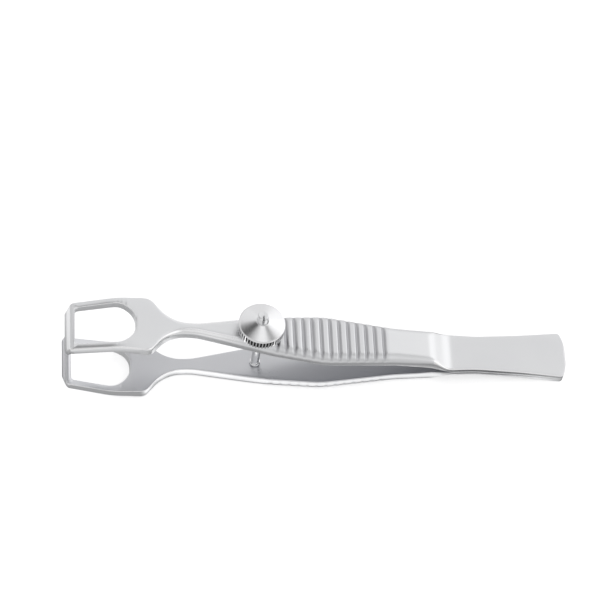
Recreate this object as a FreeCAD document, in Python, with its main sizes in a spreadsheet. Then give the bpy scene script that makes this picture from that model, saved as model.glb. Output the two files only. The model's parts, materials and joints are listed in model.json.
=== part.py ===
import FreeCAD, Part
import math
import os

import Sketcher
from FreeCAD import Placement, Rotation, Vector

# Columella forceps: two spring arms welded at the butt, with a post and a thumb nut that set the gap.
# X runs from the tips to the butt, Y across the arms, Z up.
# The pair lies on its lower arm, as it comes to rest.
# Each arm is drawn about the plane where the two arms meet, with its origin at the butt's end.
# A size that ends in _run is a step towards the tips, and one that ends in _at is the distance from the
# butt's end that the steps add up to. One that ends in _z is a height above or below the plane where the
# arms meet, and one that ends in _half is half a width.

os.makedirs("parts", exist_ok=True)
doc = FreeCAD.newDocument("columella_forceps")

sizes = {
    # Stock that each arm is cut from, wider than the arm
    "stock_width": 15.4,
    # Butt: two thin plates laid together
    "butt_plate": 1.15,
    "butt_corner_run": 1.0,
    "butt_corner_half": 5.95,
    "butt_corner_round": 0.9,
    "butt_bulge_half": 3.2,
    "butt_bulge_round": 9.0,
    "flare_run": 9.4,
    "flare_half": 5.05,
    "flare_round": 60.0,
    "waist_run": 10.5,
    "waist_half": 4.45,
    "waist_round": 40.0,
    # Ramp from the thin butt to the thick grip
    "part_line_run": 4.6,
    "ramp_foot_run": 2.2,
    "ramp_foot_half": 4.8,
    "ramp_foot_round": 3.0,
    "ramp_run": 3.6,
    "ramp_top_z": 3.8,
    "ramp_top_half": 4.35,
    "ramp_top_round": 2.2,
    "ramp_side_round": 5.0,
    # Grip: outer and inner faces, and half widths
    "root_inner_run": 2.6,
    "root_inner_z": 1.35,
    "root_inner_round": 30.0,
    "grip_root_run": 8.6,
    "grip_root_half": 4.55,
    "grip_root_round": 40.0,
    "grip_wide_run": 16.5,
    "grip_wide_half": 6.05,
    "grip_wide_round": 22.0,
    "grip_taper_run": 12.0,
    "grip_taper_half": 4.75,
    "grip_taper_round": 60.0,
    "grip_end_run": 4.5,
    "grip_end_z": 8.45,
    "grip_end_inner_z": 5.45,
    "grip_end_round": 12.0,
    "grip_end_inner_round": 60.0,
    # Neck and shoulder
    "neck_start_run": 12.8,
    "neck_half": 1.5,
    "neck_start_round": 12.0,
    "neck_run": 4.4,
    "neck_end_round": 4.2,
    "neck_inner_run": 5.2,
    "neck_inner_z": 7.05,
    "neck_inner_round": 60.0,
    "shoulder_run": 6.4,
    "shoulder_half": 7.0,
    "shoulder_round": 2.6,
    "crest_run": 7.4,
    "crest_z": 10.7,
    "crest_inner_z": 8.62,
    "crest_round": 14.0,
    "crest_inner_round": 12.0,
    # Tip: a bar across the end, turned in as a lip
    "lip_run": 1.2,
    "bar_bend_run": 10.45,
    "bar_bend_z": 8.3,
    "bar_bend_round": 1.2,
    "tip_half": 6.3,
    "tip_side_round": 2.0,
    "lip_half": 5.0,
    "lip_outer_z": 5.75,
    "lip_thick": 0.75,
    "lip_inner_z": 5.3,
    "lip_crease_run": 0.1,
    "lip_crease_z": 6.42,
    # Window through each tip
    "window_end_run": 3.3,
    "window_end_half": 2.9,
    "window_end_round": 4.6,
    "window_side_run": 3.4,
    "window_side_half": 5.2,
    "window_side_round": 4.1,
    "window_tip_bar": 0.95,
    "window_tip_half": 4.8,
    "window_tip_round": 0.8,
    # Cross grooves of the grip, cut with a round cutter whose centre stays above the face
    "groove_count": 13,
    "groove_back": 5.26,
    "groove_pitch": 2.075,
    "groove_radius": 0.5,
    "groove_centre_gap": 0.19,
    # Eased long edges, as bevels
    "outer_edge_bevel": 0.3,
    "inner_edge_bevel": 0.15,
    "window_edge_bevel": 0.15,
    # Post, riveted in the lower arm and split at its top
    "post_back": 1.53,
    "shank_radius": 0.95,
    "thread_radius": 1.25,
    "thread_start_z": 2.6,
    "post_top_z": 14.8,
    "post_end_chamfer": 0.25,
    "flange_radius": 1.4,
    "flange_thick": 0.5,
    "rivet_recess": 0.45,
    "rivet_clearance": 0.02,
    "split_half": 0.22,
    "split_depth": 4.0,
    # Long hole of the upper arm, with the room that the swinging arm needs about the post
    "slot_side_gap": 0.25,
    "slot_butt_gap": 1.02,
    "slot_tip_gap": 0.26,
    "slot_corner_gap": 0.1,
    # Thumb nut
    "nut_seat_gap": 0.15,
    "nut_radius": 5.3,
    "nut_foot_radius": 5.1,
    "nut_foot_bevel": 0.2,
    "nut_rim": 2.5,
    "nut_lip": 0.2,
    "nut_cone_top": 1.5,
    "nut_height": 3.7,
    "nut_clearance": 0.04,
    "knurl_count": 38,
    "knurl_depth": 0.36,
    "knurl_gap_top": 0.5,
    "knurl_gap_foot": 0.24,
}
# Distances from the butt's end, each reached from the one before it
stations = {
    "butt_corner_at": "butt_corner_run",
    "flare_at": "butt_corner_at + flare_run",
    "waist_at": "flare_at + waist_run",
    "part_line_at": "waist_at + part_line_run",
    "ramp_foot_at": "part_line_at + ramp_foot_run",
    "ramp_top_at": "ramp_foot_at + ramp_run",
    "root_inner_at": "ramp_top_at + root_inner_run",
    "grip_root_at": "ramp_top_at + grip_root_run",
    "grip_wide_at": "grip_root_at + grip_wide_run",
    "grip_taper_at": "grip_wide_at + grip_taper_run",
    "grip_end_at": "grip_taper_at + grip_end_run",
    "post_at": "grip_end_at - post_back",
    "groove_first_at": "grip_end_at - groove_back",
    "neck_start_at": "grip_end_at + neck_start_run",
    "neck_end_at": "neck_start_at + neck_run",
    "neck_inner_at": "neck_start_at + neck_inner_run",
    "shoulder_at": "neck_end_at + shoulder_run",
    "window_end_at": "shoulder_at + window_end_run",
    "window_side_at": "window_end_at + window_side_run",
    "crest_at": "shoulder_at + crest_run",
    "bar_bend_at": "crest_at + bar_bend_run",
    "window_tip_at": "bar_bend_at - window_tip_bar",
    "lip_crease_at": "bar_bend_at - lip_crease_run",
    "length": "bar_bend_at + lip_run",
}
dims = doc.addObject("Spreadsheet::Sheet", "Dims")
cells = {**sizes, **{alias: f"={formula}" for alias, formula in stations.items()}}
for row, (alias, value) in enumerate(cells.items(), start=1):
    dims.set(f"A{row}", alias)
    dims.set(f"B{row}", str(value))
    dims.setAlias(f"B{row}", alias)
doc.recompute()

# The outer face of the grip is a straight slope, and so is the inner one
GRIP_SLOPE = "((Dims.grip_end_z - Dims.ramp_top_z) / (Dims.grip_end_at - Dims.ramp_top_at))"
INNER_SLOPE = "((Dims.grip_end_inner_z - Dims.root_inner_z) / (Dims.grip_end_at - Dims.root_inner_at))"
POST_OUTER_Z = f"(Dims.ramp_top_z + (Dims.post_at - Dims.ramp_top_at) * {GRIP_SLOPE})"
POST_INNER_Z = f"(Dims.root_inner_z + (Dims.post_at - Dims.root_inner_at) * {INNER_SLOPE})"
GROOVE_FACE_Z = f"(Dims.ramp_top_z + (Dims.groove_first_at - Dims.ramp_top_at) * {GRIP_SLOPE})"
GROOVE_Z = f"({GROOVE_FACE_Z} + Dims.groove_centre_gap)"

# The nut stands square on the post, so it meets the sloping grip at the edge of its foot that faces the tips
NUT_SEAT_Z = f"({POST_OUTER_Z} + Dims.nut_foot_radius * {GRIP_SLOPE} + Dims.nut_seat_gap)"
FLANGE_SEAT_Z = f"({POST_INNER_Z} - Dims.flange_radius * {INNER_SLOPE})"
RIVET_END_Z = f"({POST_OUTER_Z} - Dims.rivet_recess)"

# At rest the butt's lower edge and the end of the lower grip touch the floor
REST_TILT = "atan((Dims.grip_end_z - Dims.butt_plate) / Dims.grip_end_at)"


def read(alias):
    return float(dims.get(alias))


def work_out(text):
    """Works out a text in sheet terms, as the document itself does."""
    value = dims.evalExpression(text)
    return float(getattr(value, "Value", value))


def new_body(label, origin_at="0"):
    """Body whose origin lies origin_at from the butt's end, leant back with the pair."""
    high = f"Dims.butt_plate * sin({REST_TILT})"
    low = f"(Dims.length * cos({REST_TILT}) + Dims.lip_outer_z * sin({REST_TILT}))"
    lift = f"Dims.butt_plate * cos({REST_TILT})"
    body = doc.addObject("PartDesign::Body", label)
    body.Label = label
    body.Placement = Placement(Vector(0, 0, 0), Rotation(Vector(0, 1, 0), 10))
    body.setExpression("Placement.Base.x", f"(({low} - {high}) / 2 - {origin_at} * cos({REST_TILT})) * 1mm")
    body.setExpression("Placement.Base.z", f"({lift} + {origin_at} * sin({REST_TILT})) * 1mm")
    body.setExpression("Placement.Rotation.Angle", REST_TILT)
    return body


def new_sketch(body, name, plane):
    sketch = body.newObject("Sketcher::SketchObject", name)
    support = [f for f in body.Origin.OriginFeatures if f.Role == plane][0]
    sketch.AttachmentSupport = [(support, "")]
    sketch.MapMode = "FlatFace"
    return sketch


def bind(sketch, kind, parts, name, text):
    """Adds a constraint and binds it to the sheet."""
    number = sketch.addConstraint(Sketcher.Constraint(kind, *parts, abs(work_out(text))))
    sketch.renameConstraint(number, name)
    sketch.setExpression(f"Constraints.{name}", f"abs({text})")


def pin_point(sketch, geo, pos, name, across, along):
    """Holds a point at sheet distances from the sketch origin. Each of across and along is (sign, text)."""
    for kind, (sign, text) in (("DistanceX", across), ("DistanceY", along)):
        if text is None:
            axis = -2 if kind == "DistanceX" else -1
            sketch.addConstraint(Sketcher.Constraint("PointOnObject", geo, pos, axis))
            continue
        positive = sign * work_out(text) >= 0
        ends = (-1, 1, geo, pos) if positive else (geo, pos, -1, 1)
        bind(sketch, kind, ends, f"{name}_{kind[-1].lower()}", text)


def rounded_outline(sketch, corners):
    """Draws a closed outline of lines and tangent arcs.

    A corner is (name, (sign, text), (sign, text), radius text or None).
    """
    points = []
    for name, across, along, radius in corners:
        x = across[0] * work_out(across[1]) if across[1] else 0.0
        y = along[0] * work_out(along[1]) if along[1] else 0.0
        points.append(Vector(x, y, 0))
    count = len(points)
    cuts = []
    for i, point in enumerate(points):
        before = (points[i - 1] - point).normalize()
        after = (points[(i + 1) % count] - point).normalize()
        radius = corners[i][3]
        half = before.getAngle(after) / 2
        reach = work_out(radius) / math.tan(half) if radius else 0.0
        cuts.append((point + before * reach, point + after * reach, before, after, half))
    lines = []
    for i in range(count):
        start = cuts[i][1]
        end = cuts[(i + 1) % count][0]
        lines.append(sketch.addGeometry(Part.LineSegment(start, end), False))
    for i, (name, across, along, radius) in enumerate(corners):
        into = lines[i - 1]
        out = lines[i]
        if not radius:
            sketch.addConstraint(Sketcher.Constraint("Coincident", into, 2, out, 1))
            pin_point(sketch, out, 1, name, across, along)
            continue
        first, last, before, after, half = cuts[i]
        centre = points[i] + (before + after).normalize() * (work_out(radius) / math.sin(half))
        middle = centre + (points[i] - centre).normalize() * work_out(radius)
        arc = sketch.addGeometry(Part.Arc(first, middle, last), False)
        ends = [sketch.getPoint(arc, 1), sketch.getPoint(arc, 2)]
        near = 1 if (ends[0] - first).Length < (ends[1] - first).Length else 2
        corner = sketch.addGeometry(Part.Point(points[i]), True)
        sketch.addConstraint(Sketcher.Constraint("Tangent", into, 2, arc, near))
        sketch.addConstraint(Sketcher.Constraint("Tangent", out, 1, arc, 3 - near))
        sketch.addConstraint(Sketcher.Constraint("PointOnObject", corner, 1, into))
        sketch.addConstraint(Sketcher.Constraint("PointOnObject", corner, 1, out))
        bind(sketch, "Radius", (arc,), f"{name}_round", radius)
        pin_point(sketch, corner, 1, name, across, along)


def add_feature(body, kind, name, sketch, **settings):
    feature = body.newObject(f"PartDesign::{kind}", name)
    feature.Profile = sketch
    for key, value in settings.items():
        if isinstance(value, str) and value.startswith("Dims."):
            feature.setExpression(key, value)
        else:
            setattr(feature, key, value)
    sketch.Visibility = False
    body.Tip = feature
    return feature


def side_corners(side):
    """Side view of an arm. side is 1 for the upper arm and -1 for the lower."""
    def at(name, x, z, radius=None):
        across = (-1, f"Dims.{x}") if x else (1, None)
        along = (side, f"Dims.{z}") if z else (1, None)
        return (name, across, along, f"Dims.{radius}" if radius else None)

    lip_inner = ("lip_inner", (-1, "Dims.length - Dims.lip_thick"), (side, "Dims.lip_inner_z"), None)
    return [
        at("butt_inner", None, None),
        at("butt_outer", None, "butt_plate"),
        at("ramp_foot", "ramp_foot_at", "butt_plate", "ramp_foot_round"),
        at("ramp_top", "ramp_top_at", "ramp_top_z", "ramp_top_round"),
        at("grip_end", "grip_end_at", "grip_end_z", "grip_end_round"),
        at("crest", "crest_at", "crest_z", "crest_round"),
        at("bar_bend", "bar_bend_at", "bar_bend_z", "bar_bend_round"),
        at("lip_outer", "length", "lip_outer_z"),
        lip_inner,
        at("lip_crease", "lip_crease_at", "lip_crease_z"),
        at("crest_inner", "crest_at", "crest_inner_z", "crest_inner_round"),
        at("neck_inner", "neck_inner_at", "neck_inner_z", "neck_inner_round"),
        at("grip_inner", "grip_end_at", "grip_end_inner_z", "grip_end_inner_round"),
        at("root_inner", "root_inner_at", "root_inner_z", "root_inner_round"),
        at("part_line", "part_line_at", None),
    ]


def mirrored(half):
    """Closes a half outline with its mirror image. A row is (name, at, half width, radius)."""
    near = []
    far = []
    for name, at, width, radius in half:
        across = (-1, at) if at else (1, None)
        near.append((f"{name}_near", across, (-1, width), radius))
        far.append((f"{name}_far", across, (1, width), radius))
    return near + far[::-1]


def sheet_rows(rows):
    """Turns rows of sheet names into texts."""
    return [(row[0], *[f"Dims.{name}" if name else None for name in row[1:]]) for row in rows]


def plan_corners():
    return mirrored(sheet_rows([
        ("butt_bulge", None, "butt_bulge_half", "butt_bulge_round"),
        ("butt_corner", "butt_corner_at", "butt_corner_half", "butt_corner_round"),
        ("flare", "flare_at", "flare_half", "flare_round"),
        ("waist", "waist_at", "waist_half", "waist_round"),
        ("ramp_foot", "ramp_foot_at", "ramp_foot_half", "ramp_side_round"),
        ("ramp_top", "ramp_top_at", "ramp_top_half", "ramp_side_round"),
        ("grip_root", "grip_root_at", "grip_root_half", "grip_root_round"),
        ("grip_wide", "grip_wide_at", "grip_wide_half", "grip_wide_round"),
        ("grip_taper", "grip_taper_at", "grip_taper_half", "grip_taper_round"),
        ("neck_start", "neck_start_at", "neck_half", "neck_start_round"),
        ("neck_end", "neck_end_at", "neck_half", "neck_end_round"),
        ("shoulder", "shoulder_at", "shoulder_half", "shoulder_round"),
        ("tip_side", "bar_bend_at", "tip_half", "tip_side_round"),
        ("lip", "length", "lip_half", None),
    ]))


def window_corners():
    return mirrored(sheet_rows([
        ("window_end", "window_end_at", "window_end_half", "window_end_round"),
        ("window_side", "window_side_at", "window_side_half", "window_side_round"),
        ("window_tip", "window_tip_at", "window_tip_half", "window_tip_round"),
    ]))


def stock_corners():
    """Rectangle that is larger than the stock, so that everything outside the outline is cut away."""
    reach = "Dims.stock_width"
    beyond_tip = "Dims.length + Dims.stock_width"
    return [
        ("stock_butt_near", (1, reach), (-1, reach), None),
        ("stock_tip_near", (-1, beyond_tip), (-1, reach), None),
        ("stock_tip_far", (-1, beyond_tip), (1, reach), None),
        ("stock_butt_far", (1, reach), (1, reach), None),
    ]


def slot_corners():
    """Long hole of the upper arm, which lets the arm swing past the upright post."""
    width = "Dims.thread_radius + Dims.slot_side_gap"
    corner = f"{width} - Dims.slot_corner_gap"
    return mirrored([
        ("slot_butt", "Dims.post_at - Dims.thread_radius - Dims.slot_butt_gap", width, corner),
        ("slot_tip", "Dims.post_at + Dims.thread_radius + Dims.slot_tip_gap", width, corner),
    ])


def ease_edges(body, name, size, wanted):
    """Bevels the long edges, each between an upright wall and a face seen from above, that wanted picks."""
    doc.recompute()
    base = body.Tip
    shape = base.Shape
    picked = []
    for number, edge in enumerate(shape.Edges, start=1):
        middle = edge.valueAt((edge.FirstParameter + edge.LastParameter) / 2)
        faces = shape.ancestorsOfType(edge, Part.Face)
        lean = sorted((face.normalAt(*face.Surface.parameter(middle)).z for face in faces), key=abs)
        if len(faces) == 2 and abs(lean[0]) < 0.1 and abs(lean[1]) > 0.5 and wanted(middle, lean[1]):
            picked.append(f"Edge{number}")
    bevel = body.newObject("PartDesign::Chamfer", name)
    bevel.Base = (base, picked)
    bevel.setExpression("Size", f"Dims.{size}")
    body.Tip = bevel


def make_arm(label, side):
    body = new_body(label)
    profile = new_sketch(body, f"{label}_side", "XZ_Plane")
    rounded_outline(profile, side_corners(side))
    stock = add_feature(body, "Pad", f"{label}_stock", profile, Midplane=True)
    stock.setExpression("Length", "Dims.stock_width")
    outline = new_sketch(body, f"{label}_outline", "XY_Plane")
    rounded_outline(outline, stock_corners())
    rounded_outline(outline, plan_corners())
    add_feature(body, "Pocket", f"{label}_trim", outline, Midplane=True, Type="ThroughAll")
    crease_x = -read("lip_crease_at")
    root_x = -read("root_inner_at")
    ease_edges(body, f"{label}_outer_edge", "outer_edge_bevel", lambda at, lean: lean * side > 0)
    ease_edges(body, f"{label}_inner_edge", "inner_edge_bevel",
               lambda at, lean: lean * side < 0 and crease_x < at.x < root_x)
    opening = new_sketch(body, f"{label}_opening", "XY_Plane")
    rounded_outline(opening, window_corners())
    add_feature(body, "Pocket", f"{label}_window", opening, Midplane=True, Type="ThroughAll")
    rim_half = (read("window_side_half") + read("tip_half")) / 2
    rim_x = -(read("window_tip_at") + read("bar_bend_at")) / 2
    ease_edges(body, f"{label}_window_edge", "window_edge_bevel",
               lambda at, lean: abs(at.y) < rim_half and rim_x < at.x < -read("shoulder_at"))
    return body


def groove_sketch(body, name, side):
    """Round cutter of the first groove, on the grip's outer face, with a rail along that face."""
    sketch = new_sketch(body, name, "XZ_Plane")
    centre = Vector(-read("groove_first_at"), side * work_out(GROOVE_Z), 0)
    circle = sketch.addGeometry(Part.Circle(centre, Vector(0, 0, 1), read("groove_radius")), False)
    bind(sketch, "Radius", (circle,), "groove_radius", "Dims.groove_radius")
    pin_point(sketch, circle, 3, "groove", (-1, "Dims.groove_first_at"), (side, GROOVE_Z))
    rail_end = Vector(-read("grip_end_at"), side * read("grip_end_z"), 0)
    rail_top = Vector(-read("ramp_top_at"), side * read("ramp_top_z"), 0)
    rail = sketch.addGeometry(Part.LineSegment(rail_end, rail_top), True)
    pin_point(sketch, rail, 1, "rail_end", (-1, "Dims.grip_end_at"), (side, "Dims.grip_end_z"))
    pin_point(sketch, rail, 2, "rail_top", (-1, "Dims.ramp_top_at"), (side, "Dims.ramp_top_z"))
    return sketch


def finish_arm(body, side):
    """Cuts the hole for the post and the grip's grooves."""
    label = body.Label
    hole = new_sketch(body, f"{label}_hole", "XY_Plane")
    if side < 0:
        centre = Vector(-read("post_at"), 0, 0)
        circle = hole.addGeometry(Part.Circle(centre, Vector(0, 0, 1), read("shank_radius")), False)
        pin_point(hole, circle, 3, "hole", (-1, "Dims.post_at"), (1, None))
        bind(hole, "Radius", (circle,), "hole_radius", "Dims.shank_radius + Dims.rivet_clearance")
    else:
        rounded_outline(hole, slot_corners())
    add_feature(body, "Pocket", f"{label}_post_hole", hole, Midplane=True, Type="ThroughAll")
    groove = groove_sketch(body, f"{label}_groove", side)
    cut = add_feature(body, "Pocket", f"{label}_first_groove", groove, Midplane=True, Type="ThroughAll")
    pattern = body.newObject("PartDesign::LinearPattern", f"{label}_grooves")
    pattern.Originals = [cut]
    pattern.Direction = (groove, ["Axis0"])
    pattern.setExpression("Occurrences", "Dims.groove_count")
    pattern.setExpression("Length", "(Dims.groove_count - 1) * Dims.groove_pitch")
    body.Tip = pattern


def turned(body, name, rows):
    """Turns a section about the post's axis. A row is (name, radius text or None, height text)."""
    sketch = new_sketch(body, f"{name}_section", "XZ_Plane")
    rounded_outline(sketch, [(row, (1, radius), signed(height), None) for row, radius, height in rows])
    feature = body.newObject("PartDesign::Revolution", name)
    feature.Profile = sketch
    feature.ReferenceAxis = (sketch, ["V_Axis"])
    feature.Angle = 360
    sketch.Visibility = False
    body.Tip = feature


def signed(text):
    """Splits a text that starts with a minus into its sign and the rest."""
    return (-1, text[1:]) if text.startswith("-") else (1, text)


def make_post():
    body = new_body("threaded_post", "Dims.post_at")
    turned(body, "post_turning", [
        ("rivet_axis", None, f"-{RIVET_END_Z}"),
        ("rivet_rim", "Dims.shank_radius", f"-{RIVET_END_Z}"),
        ("seat_inner", "Dims.shank_radius", f"-{FLANGE_SEAT_Z}"),
        ("seat_outer", "Dims.flange_radius", f"-{FLANGE_SEAT_Z}"),
        ("flange_outer", "Dims.flange_radius", f"-({FLANGE_SEAT_Z} - Dims.flange_thick)"),
        ("flange_inner", "Dims.shank_radius", f"-({FLANGE_SEAT_Z} - Dims.flange_thick)"),
        ("thread_foot", "Dims.shank_radius", "Dims.thread_start_z"),
        ("thread_start", "Dims.thread_radius", "Dims.thread_start_z + Dims.post_end_chamfer"),
        ("thread_end", "Dims.thread_radius", "Dims.post_top_z - Dims.post_end_chamfer"),
        ("top_rim", "Dims.thread_radius - Dims.post_end_chamfer", "Dims.post_top_z"),
        ("top_axis", None, "Dims.post_top_z"),
    ])
    split = new_sketch(body, "post_split_shape", "XZ_Plane")
    foot = (1, "Dims.post_top_z - Dims.split_depth")
    head = (1, "Dims.post_top_z + Dims.split_half")
    rounded_outline(split, [
        ("split_foot_left", (-1, "Dims.split_half"), foot, None),
        ("split_foot_right", (1, "Dims.split_half"), foot, None),
        ("split_head_right", (1, "Dims.split_half"), head, None),
        ("split_head_left", (-1, "Dims.split_half"), head, None),
    ])
    add_feature(body, "Pocket", "post_split", split, Midplane=True, Type="ThroughAll")
    return body


def make_nut():
    body = new_body("thumb_nut", "Dims.post_at")
    bore = "Dims.thread_radius + Dims.nut_clearance"
    turned(body, "nut_turning", [
        ("bore_foot", bore, NUT_SEAT_Z),
        ("foot_rim", "Dims.nut_foot_radius", NUT_SEAT_Z),
        ("rim_foot", "Dims.nut_radius", f"{NUT_SEAT_Z} + Dims.nut_foot_bevel"),
        ("rim_top", "Dims.nut_radius", f"{NUT_SEAT_Z} + Dims.nut_rim"),
        ("cone_top", "Dims.nut_cone_top", f"{NUT_SEAT_Z} + Dims.nut_height"),
        ("bore_top", bore, f"{NUT_SEAT_Z} + Dims.nut_height"),
    ])
    gap = new_sketch(body, "knurl_gap_shape", "XY_Plane")
    foot = (1, "Dims.nut_radius - Dims.knurl_depth")
    mouth = (1, "Dims.nut_radius + Dims.knurl_depth")
    foot_half = "Dims.knurl_gap_foot / 2"
    mouth_half = "Dims.knurl_gap_top - Dims.knurl_gap_foot / 2"
    rounded_outline(gap, [
        ("gap_foot_left", (-1, foot_half), foot, None),
        ("gap_foot_right", (1, foot_half), foot, None),
        ("gap_mouth_right", (1, mouth_half), mouth, None),
        ("gap_mouth_left", (-1, mouth_half), mouth, None),
    ])
    cut = add_feature(body, "Pocket", "knurl_gap", gap, Reversed=True)
    cut.setExpression("Length", f"{NUT_SEAT_Z} + Dims.nut_rim - Dims.nut_lip")
    knurl = body.newObject("PartDesign::PolarPattern", "knurl")
    knurl.Originals = [cut]
    knurl.Axis = (gap, ["N_Axis"])
    knurl.Angle = 360
    knurl.setExpression("Occurrences", "Dims.knurl_count")
    body.Tip = knurl
    return body


lower_arm = make_arm("lower_arm", -1)
upper_arm = make_arm("upper_arm", 1)
finish_arm(lower_arm, -1)
finish_arm(upper_arm, 1)
pieces = [lower_arm, upper_arm, make_post(), make_nut()]
doc.recompute()

for obj in doc.Objects:
    if "Invalid" in obj.State or "Error" in obj.State:
        raise RuntimeError(f"{obj.Name} is {obj.State}")
for piece in pieces:
    if piece.Shape.isNull() or not piece.Shape.isValid() or len(piece.Shape.Solids) != 1:
        raise RuntimeError(f"{piece.Label} has no single valid solid")
for piece in pieces:
    piece.Shape.exportStep(f"parts/{piece.Label}.step")
    print(piece.Label, round(piece.Shape.Volume, 1), "mm3")
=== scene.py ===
import json
import math

import bmesh
import bpy
import numpy as np
from mathutils import Matrix, Vector


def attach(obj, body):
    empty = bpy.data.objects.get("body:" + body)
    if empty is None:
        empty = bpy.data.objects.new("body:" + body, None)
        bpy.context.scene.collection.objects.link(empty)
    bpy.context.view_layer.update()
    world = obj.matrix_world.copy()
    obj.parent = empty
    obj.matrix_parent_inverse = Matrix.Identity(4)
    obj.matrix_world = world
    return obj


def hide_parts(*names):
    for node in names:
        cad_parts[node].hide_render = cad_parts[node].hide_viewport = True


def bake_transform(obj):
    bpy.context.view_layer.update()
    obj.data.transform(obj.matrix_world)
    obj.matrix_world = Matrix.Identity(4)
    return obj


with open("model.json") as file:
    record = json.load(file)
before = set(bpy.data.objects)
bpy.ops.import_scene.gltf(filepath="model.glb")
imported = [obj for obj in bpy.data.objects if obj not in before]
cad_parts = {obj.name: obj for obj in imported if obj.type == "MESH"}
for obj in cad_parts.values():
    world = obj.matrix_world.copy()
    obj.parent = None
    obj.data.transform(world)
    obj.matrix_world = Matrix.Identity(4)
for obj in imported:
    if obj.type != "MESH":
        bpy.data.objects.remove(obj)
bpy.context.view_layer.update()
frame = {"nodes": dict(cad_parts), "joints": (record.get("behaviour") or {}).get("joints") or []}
nodes = frame["nodes"]
joints = {joint["name"]: joint for joint in frame["joints"]}
mm = 0.001
print("stage 1: frame loaded")


# Steels: small helpers for their nodes, then one function for each finish

def newMaterial(name, metallic):
    # New material, with its node tree and its shader.
    material = bpy.data.materials.new(name)
    material.use_nodes = True
    tree = material.node_tree
    shader = tree.nodes["Principled BSDF"]
    shader.inputs["Metallic"].default_value = metallic
    return material, tree, shader


def feed(tree, socket, value):
    # Links a value into a socket, or sets it there. A colour of three parts gets its fourth.
    if isinstance(value, bpy.types.NodeSocket):
        tree.links.new(value, socket)
    else:
        socket.default_value = (*value, 1.0) if socket.type == "RGBA" else value


def addNode(tree, kind, **settings):
    # New node. A setting with the name of an input is fed to that input.
    node = tree.nodes.new(kind)
    for key, value in settings.items():
        if key in node.inputs:
            feed(tree, node.inputs[key], value)
        else:
            setattr(node, key, value)
    return node


def mathOf(tree, operation, first, second):
    # Each of the two is a socket or a number.
    node = addNode(tree, "ShaderNodeMath", operation=operation)
    feed(tree, node.inputs[0], first)
    feed(tree, node.inputs[1], second)
    return node.outputs["Value"]


def mixOf(tree, kind, share, first, second):
    # First where the share is 0, second where it is 1.
    node = addNode(tree, "ShaderNodeMix", data_type=kind)
    for key, value in (("Factor", share), ("A", first), ("B", second)):
        feed(tree, node.inputs[key], value)
    return node.outputs["Result"]


def ramp(tree, factor, span, low, high, shape="SMOOTHSTEP"):
    # Carries a factor's span to the one from low to high, clamped at both ends.
    node = addNode(tree, "ShaderNodeMapRange", interpolation_type=shape)
    for key, value in (("From Min", span[0]), ("From Max", span[1]), ("To Min", low), ("To Max", high)):
        node.inputs[key].default_value = value
    tree.links.new(factor, node.inputs["Value"])
    return node.outputs["Result"]


def noiseAt(tree, place, scale, detail):
    return addNode(tree, "ShaderNodeTexNoise", Vector=place, Scale=scale, Detail=detail).outputs["Fac"]


noiseSpan = (0.3, 0.7)         # where nearly all of the noise lies


def spread(tree, noise, low, high):
    # Carries noise to the span from low to high.
    return ramp(tree, noise, noiseSpan, low, high, "LINEAR")


def markOf(tree, name):
    # Share from 0 to 1 that the piece's mesh carries under a name.
    return addNode(tree, "ShaderNodeAttribute", attribute_name=name).outputs["Fac"]


def roughen(tree, shader, height, strength, depth):
    # Fine relief, with its depth in metres.
    bump = addNode(tree, "ShaderNodeBump", Strength=strength, Distance=depth, Height=height)
    tree.links.new(bump.outputs["Normal"], shader.inputs["Normal"])


satinLook = {
    "colour": (0.85, 0.855, 0.86),
    "dullColour": (0.82, 0.825, 0.835),
    # colours over it, each by the share in the piece's mark of that name
    "markColours": {
        "insideShade": (0.71, 0.715, 0.735),      # painted shade on the faces between the arms
        "grooveShade": (0.44, 0.44, 0.455),
        # painted highlight on worn edges, whose smoother finish is real wear
        "wornEdgeHighlight": (0.97, 0.97, 0.97),
    },
    "roughness": (0.28, 0.35),
    "wornRoughness": 0.2,
    "cloudScale": 60.0,        # slow change of sheen, a patch each 15 mm
    "cloudDetail": 3.0,
    "grainScale": 5200.0,      # blasted grain, about 0.2 mm
    "grainDetail": 1.0,
    "grainSheen": 0.02,
    "grainStrength": 0.5,
    "grainDepth": 0.0000025,
}


def satinSteel(look):
    # Blasted grain, slow clouds of sheen, and painted shade and highlight where the mesh is marked.
    material, tree, shader = newMaterial("satinSteel", 1.0)
    place = addNode(tree, "ShaderNodeTexCoord").outputs["Object"]
    cloud = noiseAt(tree, place, look["cloudScale"], look["cloudDetail"])
    grain = noiseAt(tree, place, look["grainScale"], look["grainDetail"])
    tint = mixOf(tree, "RGBA", spread(tree, cloud, 0.0, 1.0), look["dullColour"], look["colour"])
    for name, colour in look["markColours"].items():
        tint = mixOf(tree, "RGBA", markOf(tree, name), tint, colour)
    tree.links.new(tint, shader.inputs["Base Color"])
    fine = spread(tree, grain, -look["grainSheen"], look["grainSheen"])
    sheen = mathOf(tree, "ADD", spread(tree, cloud, *look["roughness"]), fine)
    sheen = mixOf(tree, "FLOAT", markOf(tree, "wornEdgeHighlight"), sheen, look["wornRoughness"])
    tree.links.new(sheen, shader.inputs["Roughness"])
    roughen(tree, shader, grain, look["grainStrength"], look["grainDepth"])
    return material


turnedLook = {
    "colour": (0.9, 0.9, 0.905),
    "gapColour": (0.03, 0.03, 0.032),    # shade in the narrow gaps between the teeth
    "roughness": (0.13, 0.2),
    "ringStretch": (0.02, 1.0, 1.0),     # the noise hardly changes on the way round
    "ringScale": 60.0,
    "ringDetail": 3.0,
    "ringStrength": 0.4,
    "ringDepth": 0.0000016,
    "anisotropy": 0.75,
}


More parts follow.
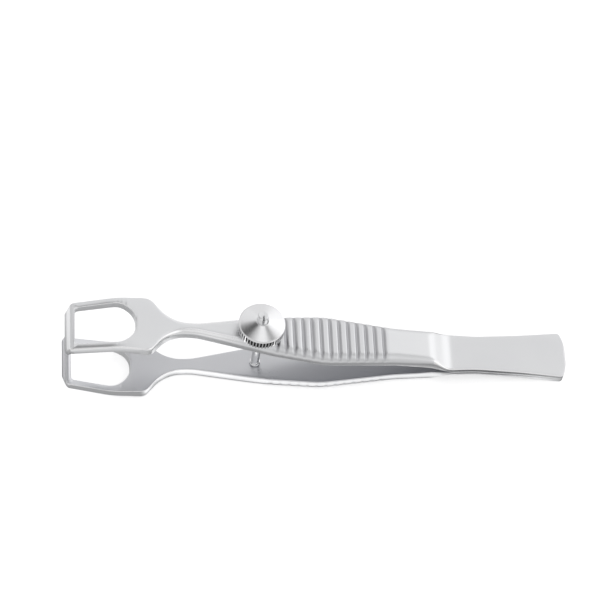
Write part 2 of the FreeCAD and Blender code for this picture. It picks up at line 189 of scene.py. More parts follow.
def turnedSteel(look):
    # Rings round the axis: noise along V of the piece's own map, which follows its profile.
    material, tree, shader = newMaterial("turnedSteel", 1.0)
    unwrap = addNode(tree, "ShaderNodeUVMap", uv_map="turning").outputs["UV"]
    flat = addNode(tree, "ShaderNodeMapping", Vector=unwrap, Scale=look["ringStretch"]).outputs["Vector"]
    rings = noiseAt(tree, flat, look["ringScale"], look["ringDetail"])
    tint = mixOf(tree, "RGBA", markOf(tree, "gapShade"), look["colour"], look["gapColour"])
    tree.links.new(tint, shader.inputs["Base Color"])
    tree.links.new(spread(tree, rings, *look["roughness"]), shader.inputs["Roughness"])
    shader.inputs["Anisotropic"].default_value = look["anisotropy"]
    tangent = addNode(tree, "ShaderNodeTangent", direction_type="UV_MAP", uv_map="turning")
    tree.links.new(tangent.outputs["Tangent"], shader.inputs["Tangent"])
    roughen(tree, shader, rings, look["ringStrength"], look["ringDepth"])
    return material


brightLook = {
    "colour": (0.88, 0.885, 0.89),
    "roughness": (0.14, 0.24),
    "streakScale": 900.0,
    "streakDetail": 3.0,
}


def brightSteel(look):
    # Bright steel whose sheen changes in fine streaks.
    material, tree, shader = newMaterial("brightSteel", 1.0)
    place = addNode(tree, "ShaderNodeTexCoord").outputs["Object"]
    streaks = noiseAt(tree, place, look["streakScale"], look["streakDetail"])
    feed(tree, shader.inputs["Base Color"], look["colour"])
    tree.links.new(spread(tree, streaks, *look["roughness"]), shader.inputs["Roughness"])
    return material


satin = satinSteel(satinLook)
turned = turnedSteel(turnedLook)
bright = brightSteel(brightLook)
print("stage 2: steels made")


# Meshes: small helpers for the pieces below

joinWithin = 0.0001            # mm, points no further apart become one


def placeNew(name, data):
    # New object, unturned at the origin.
    thing = bpy.data.objects.new(name, data)
    bpy.context.scene.collection.objects.link(thing)
    return thing


def vectorsOf(things, name):
    # One vector of each vertex or face, as an array.
    found = np.zeros(len(things) * 3, np.float32)
    things.foreach_get(name, found)
    return found.reshape(-1, 3)


def mark(mesh, name, domain, shares):
    # Gives each point or face of the mesh its share, from 0 to 1.
    values = shares.astype(np.float32).ravel()
    mesh.attributes.new(name, "FLOAT", domain).data.foreach_set("value", values)


def closeMesh(mesh):
    # Merges points that lie together, as at poles and seams, and turns the faces outwards.
    work = bmesh.new()
    work.from_mesh(mesh)
    bmesh.ops.remove_doubles(work, verts=work.verts, dist=joinWithin * mm)
    bmesh.ops.recalc_face_normals(work, faces=work.faces)
    work.to_mesh(mesh)
    work.free()


def softShade(mesh, sharpAbove):
    # Smooth shading, but for edges that turn by more than an angle in degrees.
    mesh.shade_smooth()
    mesh.set_sharp_from_angle(angle=math.radians(sharpAbove))


def sawThrough(piece, bottom, top):
    # Takes the prism between two like outlines out of the piece.
    count = len(bottom)
    index = np.arange(count)
    ring = np.stack([index, (index + 1) % count, (index + 1) % count + count, index + count], -1).tolist()
    mesh = bpy.data.meshes.new("saw")
    mesh.from_pydata(np.concatenate([bottom, top]), [], ring + [index.tolist(), (index + count).tolist()])
    closeMesh(mesh)
    saw = placeNew("saw", mesh)
    cut = piece.modifiers.new("saw", "BOOLEAN")
    cut.operation = "DIFFERENCE"
    cut.solver = "EXACT"
    cut.object = saw
    result = bpy.data.meshes.new_from_object(piece.evaluated_get(bpy.context.evaluated_depsgraph_get()))
    piece.modifiers.clear()
    piece.data = result
    bpy.data.objects.remove(saw)


def dress(piece, material, slot, *stoodFor):
    # Gives the piece its steel and hides the CAD nodes that it stands for.
    piece.data.materials.clear()
    piece.data.materials.append(material)
    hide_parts(*stoodFor)


# Arms: sections carried from the butt to the shoulder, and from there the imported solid's own windowed tip

hinge = Vector(joints["arm_squeeze"]["pos_m"])
up = np.array(Vector(joints["nut_turn"]["axis"]).normalized())
across = np.array((0.0, 1.0, 0.0))
ahead = np.cross(across, up)

armSize = {
    # side view and half width: distance from the butt's end, mm away from the middle, rounding
    "outerLine": [(0, 1.15, 0), (27.7, 1.15, 4.5), (31.3, 3.8, 4.0), (72.9, 8.45, 12.0), (103.9, 10.7, 0)],
    "innerLine": [
        (0, 0, 0), (25.5, 0, 0), (33.9, 1.35, 30.0), (72.9, 5.45, 60.0), (90.9, 7.05, 60.0),
        (103.9, 8.62, 0),
    ],
    "widthLine": [
        (0, 0, 0), (0, 3.2, 9.0), (1.0, 5.95, 0.9), (10.4, 5.05, 60.0), (20.9, 4.45, 40.0),
        (27.7, 4.8, 5.0), (31.3, 4.35, 5.0), (39.9, 4.55, 40.0), (56.4, 6.05, 22.0), (68.4, 4.75, 60.0),
        (85.7, 1.5, 12.0), (91.8, 1.5, 8.6), (96.4, 7.0, 2.3), (114.35, 6.3, 0),
    ],
    "arcSteps": 10,            # in each rounding of those lines
    "partLine": 25.5,          # where the arms part, and the hinge lies
    "sectionsEnd": 98.8,
    "tipStart": 99.3,
    "solidJoin": 0.002,        # mm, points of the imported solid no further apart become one
    # rounding of the long edges: distance from the butt's end, radius
    "outerEdge": [
        (0, 0.3), (25, 0.3), (28.5, 0.6), (32.5, 1.6), (40, 1.95), (70, 1.95), (80, 1.47), (90, 1.3),
        (94, 0.9), (98.8, 0.3),
    ],
    "lowerShare": 0.6,         # of it on the lower arm, but never less than its smallest radius
    "innerEdge": [(0, 0.12), (30, 0.15), (40, 0.22), (94, 0.22), (98.8, 0.16)],
    "edgeSteps": 5,
    "faceSteps": 14,
    "grooves": 13,
    "grooveFirst": 67.64,
    "groovePitch": 2.075,
    "grooveRadius": 0.5,
    "grooveCentre": 0.19,      # height of the round cutter's centre above the face
    "stationStep": 0.35,
    # closer stations: over the rounding of the butt's end, and in each groove as shares of its half width
    "buttStations": [0, 0.01, 0.03, 0.07, 0.12, 0.18, 0.24, 0.3, 0.4, 0.5, 0.6, 0.7, 0.8, 0.9, 1.0, 1.15],
    "grooveStations": [-1.0, -0.93, -0.75, -0.5, -0.25, 0, 0.25, 0.5, 0.75, 0.93, 1.0],
    "stationGap": 0.05,        # kept clear by the butt's and by the last one, and twice that by a groove
    "postAt": 71.37,
    "holeRadius": 0.97,
    "slot": (68.85, 72.88, 1.5),    # from, to and half width of the upper arm's long hole
    "holePoints": 48,
    "sawHeights": (2.0, 12.0),      # of the saw's ends, away from the middle
    "sharpAbove": 38.0,        # degrees, so that the tip's bevels of 45 stay crisp
    "faceWeight": 50,          # neutral: faces count by their area and angle in the shading
    "bendLength": 17.0,        # ahead of the hinge
    # marks for the steel: spans from the butt's end, and how far a face's normal leans, from 0 to 1
    "ridges": (41.3, 69.1),    # shaded between the grooves
    "ridgeShade": 0.22,
    "ridgeFade": 0.8,
    "insideTurn": 0.75,        # faces that turn further to the other arm get painted shade
    "grip": (31.0, 75.0),      # its edges get neither the painted highlight nor the wear
    "gripFade": 6.0,
    "edgeUpright": (0.35, 0.93),
    "edgeSideways": 0.3,
}


def fromPlane(at, y, z):
    # Point at a distance from the butt's end, y across and z above the plane between the arms (mm, arrays).
    step = np.multiply.outer(armSize["partLine"] - at, ahead)
    return np.array(hinge) + (step + np.multiply.outer(y, across) + np.multiply.outer(z, up)) * mm


def roundCorners(line, arcSteps):
    # Line through corners (x, y, radius), each with an arc that touches both of its sides.
    # The arc's ends lie radius / tan(half the corner's angle) from the corner.
    corners = np.array([corner[:2] for corner in line], float)
    found = [corners[:1]]
    for before, here, after, corner in zip(corners, corners[1:], corners[2:], line[1:]):
        radius = corner[2]
        if radius == 0:
            found.append(here[None])
            continue
        into = (before - here) / np.linalg.norm(before - here)
        out = (after - here) / np.linalg.norm(after - here)
        half = math.acos(np.clip(into @ out, -1, 1)) / 2
        middle = (into + out) / np.linalg.norm(into + out)
        centre = here + middle * radius / math.sin(half)
        first = here + into * radius / math.tan(half) - centre
        last = here + out * radius / math.tan(half) - centre
        share = np.linspace(0, 1, arcSteps + 1)[:, None]
        arc = first * (1 - share) + last * share
        arc *= radius / np.linalg.norm(arc, axis=1, keepdims=True)
        found.append(centre + arc)
    found.append(corners[-1:])
    return np.concatenate(found)


leastStep = 1e-9               # mm, a line that moves on by less stands upright


def along(line, at):
    # Height of a line of points (x, y) at the given x. Where the line stands upright, its top counts.
    line = np.array(line, float)
    keep = np.append(np.diff(line[:, 0]) > leastStep, True)
    return np.interp(at, line[keep, 0], line[keep, 1])


def rounded(size, name, at):
    # Height of one of the arm's lines, with its corners rounded.
    return along(roundCorners(size[name], size["arcSteps"]), at)


def grooveCentres(size):
    # Even steps from the first groove back to the butt.
    return size["grooveFirst"] - np.arange(size["grooves"]) * size["groovePitch"]


def grooveDepth(at, size):
    # Depth of the cross grooves: the cutter's circle less the height of its centre, and never under 0.
    gap = np.abs(at[:, None] - grooveCentres(size)).min(axis=1)
    reach = np.sqrt(np.clip(size["grooveRadius"] ** 2 - gap ** 2, 0, None))
    return np.clip(reach - size["grooveCentre"], 0, None)


def stationsOf(size):
    # Places of the sections: an even row, and closer ones at the butt's end, in each groove and at corners.
    end, clear = size["sectionsEnd"], size["stationGap"]
    butt = np.array(size["buttStations"])
    halfWidth = math.sqrt(size["grooveRadius"] ** 2 - size["grooveCentre"] ** 2)
    centres = grooveCentres(size)
    inGrooves = (centres[:, None] + np.array(size["grooveStations"]) * halfWidth).ravel()
    corners = [corner[0] for line in ("outerLine", "widthLine") for corner in size[line]]
    even = np.arange(0, end, size["stationStep"])
    outside = np.abs(even[:, None] - centres).min(axis=1) > halfWidth + 2 * clear
    even = even[outside & (even > butt[-1] + clear)]
    found = np.concatenate([even, butt, inGrooves, [size["partLine"]], corners])
    return np.append(np.unique(found[found < end - clear].round(4)), end)


def sectionLoop(faceSteps, edgeSteps):
    # Loop over a section's face with rounded corners, from the near side to the far one: share of the half
    # width, and the corner arc's part sideways and upwards.
    turn = np.linspace(0, math.pi / 2, edgeSteps + 1)
    flat = np.linspace(-1, 1, faceSteps + 1)[1:-1]
    share = np.concatenate([np.full(edgeSteps + 1, -1.0), flat, np.full(edgeSteps + 1, 1.0)])
    sideways = np.concatenate([-np.cos(turn), np.zeros(len(flat)), np.cos(turn[::-1])])
    upwards = np.concatenate([np.sin(turn), np.ones(len(flat)), np.sin(turn[::-1])])
    return share, sideways, upwards


def armSections(size, side):
    # Points by station and place in the loop. y is the share times the half width less the radius, plus the
    # arc's sideways part. z is the face's height less what the arc and the groove take off it.
    at = stationsOf(size)
    outer = rounded(size, "outerLine", at)
    inner = rounded(size, "innerLine", at)
    width = rounded(size, "widthLine", at)
    outerEdge = along(size["outerEdge"], at)
    innerEdge = along(size["innerEdge"], at)
    if side < 0:
        outerEdge = np.maximum(outerEdge * size["lowerShare"], outerEdge.min())
    intoEnd = np.clip(outerEdge[0] - at, 0, None)
    outer = outer - (outerEdge[0] - np.sqrt(outerEdge[0] ** 2 - intoEnd ** 2))
    share, sideways, upwards = sectionLoop(size["faceSteps"], size["edgeSteps"])
    groove = np.multiply.outer(grooveDepth(at, size), upwards)
    top = (outer - outerEdge)[:, None] + outerEdge[:, None] * upwards - groove
    topY = (width - outerEdge)[:, None] * share + outerEdge[:, None] * sideways
    low = (inner + innerEdge)[:, None] - innerEdge[:, None] * upwards
    lowY = (width - innerEdge)[:, None] * share + innerEdge[:, None] * sideways
    z = np.concatenate([top, low[:, ::-1]], axis=1) * side
    y = np.concatenate([topY, lowY[:, ::-1]], axis=1)
    return fromPlane(np.repeat(at[:, None], y.shape[1], axis=1), y, z)


def armPiece(name, source, size, side):
    # Bridges the last section to the tip of a merged copy of the solid, and closes the butt's end.
    points = armSections(size, side)
    rows, columns = points.shape[:2]
    i, j = np.meshgrid(np.arange(rows - 1), np.arange(columns), indexing="ij")
    right = (j + 1) % columns
    quads = [i * columns + j, i * columns + right, (i + 1) * columns + right, (i + 1) * columns + j]
    faces = np.stack(quads, -1).reshape(-1, 4).tolist()
    faces.append(list(range(columns)))
    mesh = bpy.data.meshes.new(name)
    mesh.from_pydata(points.reshape(-1, 3), [], faces)
    work = bmesh.new()
    work.from_mesh(source.data)
    bmesh.ops.remove_doubles(work, verts=work.verts, dist=size["solidJoin"] * mm)
    parts = work.verts[:] + work.edges[:] + work.faces[:]
    cut = fromPlane(np.array(size["tipStart"]), np.array(0.0), np.array(0.0))
    near = joinWithin * mm
    bmesh.ops.bisect_plane(work, geom=parts, plane_co=cut, plane_no=ahead, dist=near, clear_outer=True)
    work.from_mesh(mesh)
    openEdges = [edge for edge in work.edges if len(edge.link_faces) == 1]
    bmesh.ops.bridge_loops(work, edges=openEdges)
    bmesh.ops.recalc_face_normals(work, faces=work.faces)
    work.to_mesh(mesh)
    work.free()
    return placeNew(name, mesh)


def holeOutline(size, side):
    # Outline of the post's hole: a circle in the lower arm, a long one in the upper arm.
    turn = np.linspace(0, 2 * math.pi, size["holePoints"], endpoint=False)
    if side < 0:
        return size["postAt"] + size["holeRadius"] * np.cos(turn), size["holeRadius"] * np.sin(turn)
    start, end, half = size["slot"]
    middle = np.where(np.cos(turn) > 0, end - half, start + half)
    return middle + half * np.cos(turn), half * np.sin(turn)


def markSurfaces(mesh, size, side):
    # Shares for the satin steel. grooveShade: painted shade by the depth in a groove, or on the ridges
    # between two, from the middle of the arm's thickness outwards. Painted shade on faces that look at
    # the other arm. Worn edges with a painted highlight: faces that lean sideways, but not on the grip.
    places = (vectorsOf(mesh.vertices, "co") - np.array(hinge)) / mm
    at = size["partLine"] - places @ ahead
    height = side * (places @ up)
    middle = (along(size["outerLine"], at) + along(size["innerLine"], at)) / 2
    depth = grooveDepth(at, size) / (size["grooveRadius"] - size["grooveCentre"])
    (start, end), fade = size["ridges"], size["ridgeFade"]
    ridges = np.clip((at - start) / fade, 0, 1) * np.clip((end - at) / fade, 0, 1) * size["ridgeShade"]
    above = np.clip((height - middle) / fade, 0, 1)
    mark(mesh, "grooveShade", "POINT", np.maximum(depth, ridges) * above)
    normals = vectorsOf(mesh.polygons, "normal")
    mark(mesh, "insideShade", "FACE", side * (normals @ up) < -size["insideTurn"])
    faceAt = size["partLine"] - (vectorsOf(mesh.polygons, "center") - np.array(hinge)) @ ahead / mm
    (start, end), (low, high) = size["grip"], size["edgeUpright"]
    offGrip = np.maximum(faceAt < start, np.clip((faceAt - end) / size["gripFade"], 0, 1))
    upright = np.abs(normals[:, 2])
    leaning = (upright > low) & (upright < high) & (np.abs(normals[:, 1]) > size["edgeSideways"])
    mark(mesh, "wornEdgeHighlight", "FACE", leaning * offGrip)


def makeArm(name, source, size, side):
    # Side is 1 for the upper arm and -1 for the lower one, which is the same but for its post hole.
    piece = armPiece(name, source, size, side)
    at, y = holeOutline(size, side)
    bottom, top = [fromPlane(at, y, np.full(len(at), side * height)) for height in size["sawHeights"]]
    sawThrough(piece, bottom, top)
    work = bmesh.new()
    work.from_mesh(piece.data)
    bmesh.ops.triangulate(work, faces=[face for face in work.faces if len(face.verts) > 4])
    work.to_mesh(piece.data)
    work.free()
    softShade(piece.data, size["sharpAbove"])
    markSurfaces(piece.data, size, side)
    weigh = piece.modifiers.new("faceShading", "WEIGHTED_NORMAL")
    weigh.keep_sharp = True
    weigh.mode = "FACE_AREA_WITH_ANGLE"
    weigh.weight = size["faceWeight"]
    return piece


lowerArm = makeArm("lowerArm", nodes["lower_arm"], armSize, -1)
dress(lowerArm, satin, "satin_steel", "lower_arm")
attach(lowerArm, "lower")

upperArm = makeArm("upperArm", nodes["upper_arm"], armSize, 1)
dress(upperArm, satin, "satin_steel", "upper_arm")
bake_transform(upperArm)
print("stage 3: arms made")


# Post and nut: profiles turned about the post's axis, which the nut's joint gives

seat = np.array(joints["nut_turn"]["pos_m"])


def fromAxis(radius, angle, height):
    # Point at radius and angle round the post's axis, height above the nut's seat (mm, arrays).
    # Angle 0 looks to the butt and 90 degrees to +Y.
    points = (
        np.multiply.outer(radius * np.cos(angle), ahead)
        + np.multiply.outer(radius * np.sin(angle), across)
        + np.multiply.outer(height, up)
    )
    return seat + points * mm


def turnPiece(name, radius, angle, height, lengths, closedRows):
    # Mesh of a grid of points, a row for each height and a column for each angle, with U round the axis and
    # V along the profile. The columns close on themselves, and so do the rows if asked.
    points = fromAxis(radius, np.broadcast_to(angle, radius.shape), np.repeat(height, len(angle), axis=1))
    rows, columns = points.shape[:2]
    mesh = bpy.data.meshes.new(name)
    i, j = np.meshgrid(np.arange(rows if closedRows else rows - 1), np.arange(columns), indexing="ij")
    below, right = (i + 1) % rows, (j + 1) % columns
    quads = [i * columns + j, i * columns + right, below * columns + right, below * columns + j]
    mesh.from_pydata(points.reshape(-1, 3), [], np.stack(quads, -1).reshape(-1, 4))
    layer = mesh.uv_layers.new(name="turning")
    u = np.stack([j, j + 1, j + 1, j], -1) / columns
    v = np.stack([lengths[i], lengths[i], lengths[i + 1], lengths[i + 1]], -1)
    layer.data.foreach_set("uv", np.stack([u, v], -1).astype(np.float32).ravel())
    return placeNew(name, mesh)


def densify(profile, step):
    # Points along a profile of straight runs, no further apart than step, with the corners kept.
    found = [np.array(profile[:1], float)]
    for start, end in zip(profile[:-1], profile[1:]):
        start, end = np.array(start, float), np.array(end, float)
        count = max(1, math.ceil(np.linalg.norm(end - start) / step))
        found.append(start + np.linspace(0, 1, count + 1)[1:, None] * (end - start))
    return np.concatenate(found)


nutLook = {
    # mm, heights from the nut's seat
    "radius": 5.3,
    "footRadius": 5.1,
    "footBevel": 0.2,
    "rimHeight": 2.5,
    "lip": 0.2,                # smooth edge above the teeth
    "lipStep": 0.01,           # half the height over which the gaps end under it
    "edge": 0.1,               # small round at the rim's upper edge
    "edgeBow": 0.3,            # how far in its middle lies, as a share of it
    "coneTop": 1.5,
    "topRound": (0.1, 0.04),        # at the cone's top, along and down
    "height": 3.7,
    "bore": 1.29,
    "boreBevel": (0.15, 0.06),      # at the bore's foot, along and up
    "boreEdge": 0.05,          # at its top
    "teeth": 46,
    "gapDepth": 0.36,
    "gapMouth": 0.44,
    "gapFoot": 0.22,
    "profileStep": 0.35,
    "sharpAbove": 35.0,        # degrees
}


def makeNut(look):
    # Radius at an angle is the lesser of the profile's and the knurl's. The knurl's is the foot radius in
    # the middle of a gap, climbs along the flank, and is the full radius on a tooth.
    radius, rim, edge, tall = look["radius"], look["rimHeight"], look["edge"], look["height"]
    bore, cone, lip = look["bore"], look["coneTop"], rim - look["lip"]
    bow, (bevel, bevelUp), (top, topDown) = look["edgeBow"] * edge, look["boreBevel"], look["topRound"]
    outline = [
        (bore, bevelUp),
        (bore + bevel, 0.0),
        (look["footRadius"], 0.0),
        (radius, look["footBevel"]),
        (radius, lip - look["lipStep"]),
        (radius, lip + look["lipStep"]),
        (radius, rim - edge),
        (radius - bow, rim - bow),
        (radius - edge, rim + bow),
        (cone + top, tall - topDown),
        (cone - top / 2, tall),
        (bore + look["boreEdge"], tall),
        (bore, tall - look["boreEdge"]),
        (bore, bevelUp),
    ]
    profile = densify(outline, look["profileStep"])
    lengths = np.concatenate([[0], np.cumsum(np.linalg.norm(np.diff(profile, axis=0), axis=1))])
    profile = profile[:-1]
    pitch = 2 * math.pi / look["teeth"]
    foot = look["gapFoot"] / 2 / (radius - look["gapDepth"])
    mouth = look["gapMouth"] / 2 / radius
    inTooth = np.array([-foot, 0.0, foot, mouth, pitch / 2, pitch - mouth])
    depths = np.array([1.0, 1.0, 1.0, 0.0, 0.0, 0.0]) * look["gapDepth"]
    angle = (np.arange(look["teeth"])[:, None] * pitch + inTooth).ravel()
    knurl = radius - np.tile(depths, look["teeth"]) * (profile[:, 1:] < lip)
    cut = (profile[:, :1] - knurl).clip(0, None)
    piece = turnPiece("thumbNut", np.minimum(profile[:, :1], knurl), angle, profile[:, 1:], lengths, True)
    mark(piece.data, "gapShade", "POINT", cut / look["gapDepth"])
    closeMesh(piece.data)
    softShade(piece.data, look["sharpAbove"])
    return piece


nut = makeNut(nutLook)
dress(nut, turned, "turned_steel", "thumb_nut")
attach(nut, "nut")

postSize = {
    # mm, heights from the nut's seat
    "rivetEnd": -16.828,
    "flangeSeat": -14.141,
    "flange": 0.5,
    "flangeRadius": 1.25,
    "bevel": 0.1,              # of the rivet's end and the flange
    "shank": 0.95,
    "threadStart": -6.399,
    "threadEnd": 5.801,
    "thread": 1.25,
    "threadDepth": 0.2,
    "threadFade": 0.3,         # length over which the thread runs out
    "pitch": 0.45,
    "rowsPerPitch": 6,
    "chamfer": 0.25,
    "chamferBow": (0.4, 0.15),      # a point that bows the end's chamfer out: in and down, as shares of it
    "splitHalf": 0.22,
    "splitDepth": 4.0,
    "profileStep": 0.6,
    "columns": 48,
    "sharpAbove": 50.0,        # degrees
}


def makePost(size):
    # Radius at a height is the plain profile's, less the thread's depth times a wave that is 1 at the root:
    # the wave is the share of a turn that the height is ahead of the helix, folded to a triangle.
    shank, thread, flange = size["shank"], size["thread"], size["flangeRadius"]
    foot, start, end = size["flangeSeat"], size["threadStart"], size["threadEnd"]
    bevel, chamfer, bow = size["bevel"], size["chamfer"], size["chamferBow"]
    lower = densify([
        (0.0, size["rivetEnd"]),
        (shank - bevel, size["rivetEnd"]),
        (shank, size["rivetEnd"] + bevel),
        (shank, foot),
        (flange, foot),
        (flange, foot + size["flange"] - bevel),
        (flange - bevel, foot + size["flange"]),
        (shank, foot + size["flange"]),
        (shank, start),
        (thread, start + chamfer),
    ], size["profileStep"])
    heights = np.arange(start + chamfer, end - chamfer, size["pitch"] / size["rowsPerPitch"])[1:]
    middle = np.stack([np.full(len(heights), thread), heights], 1)
    upper = [
        (thread, end - chamfer),
        (thread - chamfer * bow[0], end - chamfer * bow[1]),
        (thread - chamfer, end),
        (0.0, end),
    ]
    profile = np.concatenate([lower, middle, upper])
    angle = np.linspace(0, 2 * math.pi, size["columns"], endpoint=False)
    height = profile[:, 1:]
    turn = height / size["pitch"] - angle[None, :] / (2 * math.pi)
    wave = np.abs((turn % 1.0) * 2 - 1)
    intoThread = np.clip((height - start - chamfer) / size["threadFade"], 0, 1)
    fade = intoThread * np.clip((end - chamfer - height) / size["threadFade"], 0, 1)
    radius = profile[:, :1] - size["threadDepth"] * wave * fade
    piece = turnPiece("threadedPost", radius, angle, height, profile[:, 1], False)
    closeMesh(piece.data)
    softShade(piece.data, size["sharpAbove"])
    return piece


def splitPost(piece, size):
    # Saws the post's end in two with a thin slab along Y, which stands out past the thread.
    half = np.array([-1.0, 1.0, 1.0, -1.0]) * size["splitHalf"]
    y = np.array([-1.0, -1.0, 1.0, 1.0]) * 2 * size["thread"]
    foot, head = size["threadEnd"] - size["splitDepth"], size["threadEnd"] + size["splitHalf"]
    base = np.multiply.outer(half, ahead) + np.multiply.outer(y, across)
    sawThrough(piece, seat + (base + foot * up) * mm, seat + (base + head * up) * mm)
    piece.data.set_sharp_from_angle(angle=math.radians(size["sharpAbove"]))


post = makePost(postSize)
splitPost(post, postSize)
dress(post, bright, "post_steel", "threaded_post")
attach(post, "lower")
print("stage 4: post and nut made")


# Studio: pale floor, soft light, white round about for the camera

studio = {
    "floorSize": 6.0,
    "floorColour": (0.88, 0.88, 0.88),
    "floorRoughness": 0.9,
    "floorGlow": 0.55,         # for the camera, so that the floor shows white round a faint shadow
    # what the steel mirrors of the floor: its colour, and brightness added over spans of x and y, in mm
    "steelFloor": (0.16, 0.16, 0.164),
    "xGlows": [
        ((-45, -20), 0.12, 0.0),    # beside the tips
        ((24, 34), 0.19, 0.0),      # the grip's and the butt's sides, with a darker stretch between them
        ((46, 56), 0.0, 0.19),
    ],
    "yGlows": [
        ((-28, -14), 0.42, 0.0),    # well in front
        ((-5, 30), 0.0, 0.58),      # behind
    ],
    # bright strip on the floor along the lower arm's near edge: x, distance in front of the middle, in mm
    "stripLine": [
        (-45, 6.9), (-38.9, 6.9), (-37.1, 4.7), (-34.4, 2.4), (-30.6, 1.5), (-28.3, 1.6), (-22.6, 2.56),
        (-11, 4.65), (1, 5.9), (17.7, 4.65), (26.2, 4.4), (29.7, 4.7), (40.7, 4.5), (47.3, 5.1),
        (57.7, 5.9),
    ],
    "stripScale": 10,          # mm, more than any of those distances
    "stripGlow": 1.05,
    "stripNear": (0.65, 1.05),      # mm in front of that edge over which it fades in, and out
    "stripFar": (2.4, 3.5),
    "stripLeft": (-40, -37),   # x over which it fades in, and out
    "stripRight": (50, 60),
    # mm that its far side is moved in front left of one span of x, and both its sides right of another
    "shoulderSpan": (-26, -18),
    "shoulderFar": 4.0,
    "buttSpan": (26, 34),
    "buttNear": -0.5,
    "buttFar": -1.6,
    "sky": 0.64,
    "skyColour": (1.0, 1.0, 1.008),
    # soft patches in the sky: towards, degrees to where they start to fade and end, brightness added
    "patches": [
        ((0.85, 0.48, 0.22), 12, 46, 0.50),
        ((0.64, 0.30, 0.70), 8, 20, 0.25),
        ((-0.27, 0.27, 0.92), 5, 19, -0.58),
        ((0.20, -0.04, 0.97), 4, 14, 0.35),
        ((0.44, 0.03, 0.90), 1, 8, -0.40),
        ((-0.25, 0.62, 0.74), 12, 26, 0.18),
        ((0.15, 0.93, 0.33), 10, 30, 0.15),
        ((0.03, -0.70, 0.71), 10, 30, 0.15),
        ((0.79, -0.46, 0.41), 12, 28, 0.45),
    ],
    "keyPlace": (0.24, 0.43, 0.62),
    "keySize": 0.5,
    "keyPower": 0.10,
}


def metres(lengths):
    # From mm.
    return [length * mm for length in lengths]


def rayKind(tree, *kinds):
    # 1 for rays of any of the kinds, else 0.
    path = addNode(tree, "ShaderNodeLightPath")
    found = path.outputs[kinds[0]]
    for kind in kinds[1:]:
        found = mathOf(tree, "MAXIMUM", found, path.outputs[kind])
    return found


def stripEdge(tree, x, look):
    # How far in front of the middle the strip's line lies at x, in metres: a curve through its points.
    line = look["stripLine"]
    start, end = line[0][0], line[-1][0]
    spots = [((at - start) / (end - start), depth / look["stripScale"]) for at, depth in line]
    share = ramp(tree, x, metres((start, end)), 0.0, 1.0, "LINEAR")
    curve = addNode(tree, "ShaderNodeFloatCurve", Value=share)
    points = curve.mapping.curves[0].points
    points[0].location, points[-1].location = spots[0], spots[-1]
    for spot in spots[1:-1]:
        points.new(*spot)
    for point in points:
        point.handle_type = "VECTOR"
    curve.mapping.update()
    return mathOf(tree, "MULTIPLY", curve.outputs["Value"], look["stripScale"] * mm)


def stripShare(tree, x, y, look):
    # Share of the bright strip at a place on the floor. The distance in front of the line is -y less the
    # line's own at that x. The share rises over stripNear and falls over stripFar.
    depth = mathOf(tree, "MULTIPLY", mathOf(tree, "ADD", y, stripEdge(tree, x, look)), -1.0)
    shoulder, butt = metres(look["shoulderSpan"]), metres(look["buttSpan"])
    byShoulder = ramp(tree, x, shoulder, -look["shoulderFar"] * mm, 0.0)
    byButt = ramp(tree, x, butt, 0.0, -look["buttFar"] * mm)
    farDepth = mathOf(tree, "ADD", depth, mathOf(tree, "ADD", byShoulder, byButt))
    nearDepth = mathOf(tree, "ADD", depth, ramp(tree, x, butt, 0.0, -look["buttNear"] * mm))
    near = ramp(tree, nearDepth, metres(look["stripNear"]), 0.0, 1.0)
    far = ramp(tree, farDepth, metres(look["stripFar"]), 1.0, 0.0)
    left = ramp(tree, x, metres(look["stripLeft"]), 0.0, 1.0)
    right = ramp(tree, x, metres(look["stripRight"]), 1.0, 0.0)
    ends = mathOf(tree, "MULTIPLY", left, right)
    return mathOf(tree, "MULTIPLY", mathOf(tree, "MULTIPLY", near, far), ends)


def makeFloor(look):
    # The camera sees a pale floor with an even glow. The steel mirrors a darker one with glows of its own.
    half = look["floorSize"] / 2
    mesh = bpy.data.meshes.new("floor")
    corners = [(-half, -half, 0), (half, -half, 0), (half, half, 0), (-half, half, 0)]
    mesh.from_pydata(corners, [], [(0, 1, 2, 3)])
    material, tree, shader = newMaterial("paleFloor", 0.0)
    shader.inputs["Roughness"].default_value = look["floorRoughness"]
    shader.inputs["Specular IOR Level"].default_value = 0.0
    inSteel = rayKind(tree, "Is Glossy Ray")
    tint = mixOf(tree, "RGBA", inSteel, look["floorColour"], look["steelFloor"])
    tree.links.new(tint, shader.inputs["Base Color"])
    place = addNode(tree, "ShaderNodeTexCoord").outputs["Object"]
    axes = addNode(tree, "ShaderNodeSeparateXYZ", Vector=place)
    x, y = axes.outputs["X"], axes.outputs["Y"]
    mirrored = mathOf(tree, "MULTIPLY", stripShare(tree, x, y, look), look["stripGlow"])
    for axis, glows in ((x, look["xGlows"]), (y, look["yGlows"])):
        for span, low, high in glows:
            mirrored = mathOf(tree, "ADD", mirrored, ramp(tree, axis, metres(span), low, high))
    forSteel = mathOf(tree, "MULTIPLY", mirrored, inSteel)
    seen = rayKind(tree, "Is Camera Ray", "Is Transmission Ray")
    forCamera = mathOf(tree, "MULTIPLY", seen, look["floorGlow"])
    feed(tree, shader.inputs["Emission Color"], (1.0, 1.0, 1.0))
    tree.links.new(mathOf(tree, "ADD", forSteel, forCamera), shader.inputs["Emission Strength"])
    mesh.materials.append(material)
    floor = placeNew("floor", mesh)


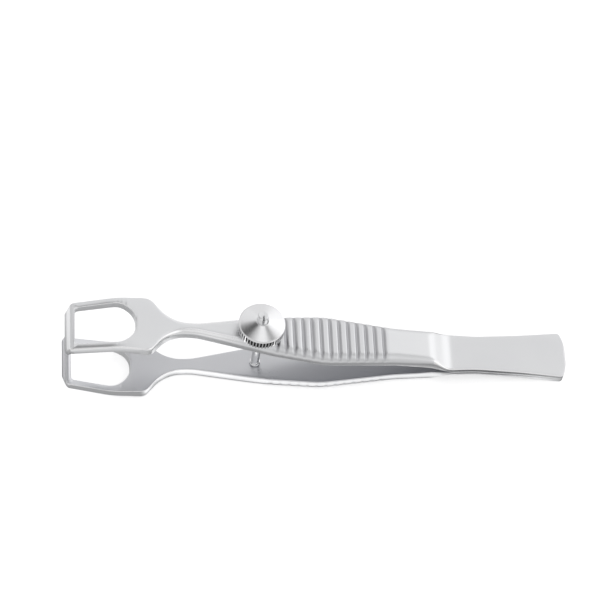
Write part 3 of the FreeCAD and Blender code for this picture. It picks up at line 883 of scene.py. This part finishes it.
def makeSky(look):
    # Brightness by direction: the sky's own, plus a soft step for each patch, by the cosine of the angle
    # between the direction and the patch's.
    world = bpy.data.worlds.new("studioSky")
    bpy.context.scene.world = world
    world.use_nodes = True
    tree = world.node_tree
    sky = tree.nodes["Background"]
    towards = addNode(tree, "ShaderNodeTexCoord").outputs["Generated"]
    total = look["sky"]
    for place, inner, outer, gain in look["patches"]:
        cosine = addNode(tree, "ShaderNodeVectorMath", operation="DOT_PRODUCT")
        feed(tree, cosine.inputs[0], towards)
        feed(tree, cosine.inputs[1], Vector(place).normalized())
        limits = [math.cos(math.radians(angle)) for angle in (outer, inner)]
        total = mathOf(tree, "ADD", ramp(tree, cosine.outputs["Value"], limits, 0.0, gain), total)
    onCamera = rayKind(tree, "Is Camera Ray")
    tint = mixOf(tree, "RGBA", onCamera, look["skyColour"], (1.0, 1.0, 1.0))
    tree.links.new(tint, sky.inputs["Color"])
    tree.links.new(mixOf(tree, "FLOAT", onCamera, total, 1.0), sky.inputs["Strength"])


def makeKeyLamp(look):
    # Square soft lamp that looks at the middle of the forceps.
    lamp = bpy.data.lights.new("keyLamp", "AREA")
    lamp.size = look["keySize"]
    lamp.energy = look["keyPower"]
    holder = placeNew("keyLamp", lamp)
    holder.location = look["keyPlace"]
    holder.rotation_euler = (-Vector(look["keyPlace"])).to_track_quat("-Z", "Y").to_euler()


makeFloor(studio)
makeSky(studio)
makeKeyLamp(studio)

cameraLook = {
    "place": (-0.03004, -0.38878, 0.63645),    # metres
    "lookAlong": (0.0364, 0.5387, -0.8417),
    "right": (0.99891, -0.0433, 0.01545),
    "lens": 194.16,
    "sensor": 36.0,
    "clip": (0.05, 20.0),
}


def makeCamera(look):
    # Turned so that it looks along one direction and its right side lies along another.
    camera = bpy.data.cameras.new("camera")
    camera.lens = look["lens"]
    camera.sensor_width = look["sensor"]
    camera.clip_start, camera.clip_end = look["clip"]
    holder = placeNew("camera", camera)
    back = -Vector(look["lookAlong"]).normalized()
    top = back.cross(Vector(look["right"]).normalized()).normalized()
    turn = Matrix((top.cross(back), top, back)).transposed()
    holder.matrix_world = Matrix.Translation(look["place"]) @ turn.to_4x4()
    bpy.context.scene.camera = holder


makeCamera(cameraLook)
bpy.context.scene.view_settings.view_transform = "Standard"
print("stage 5: studio made")
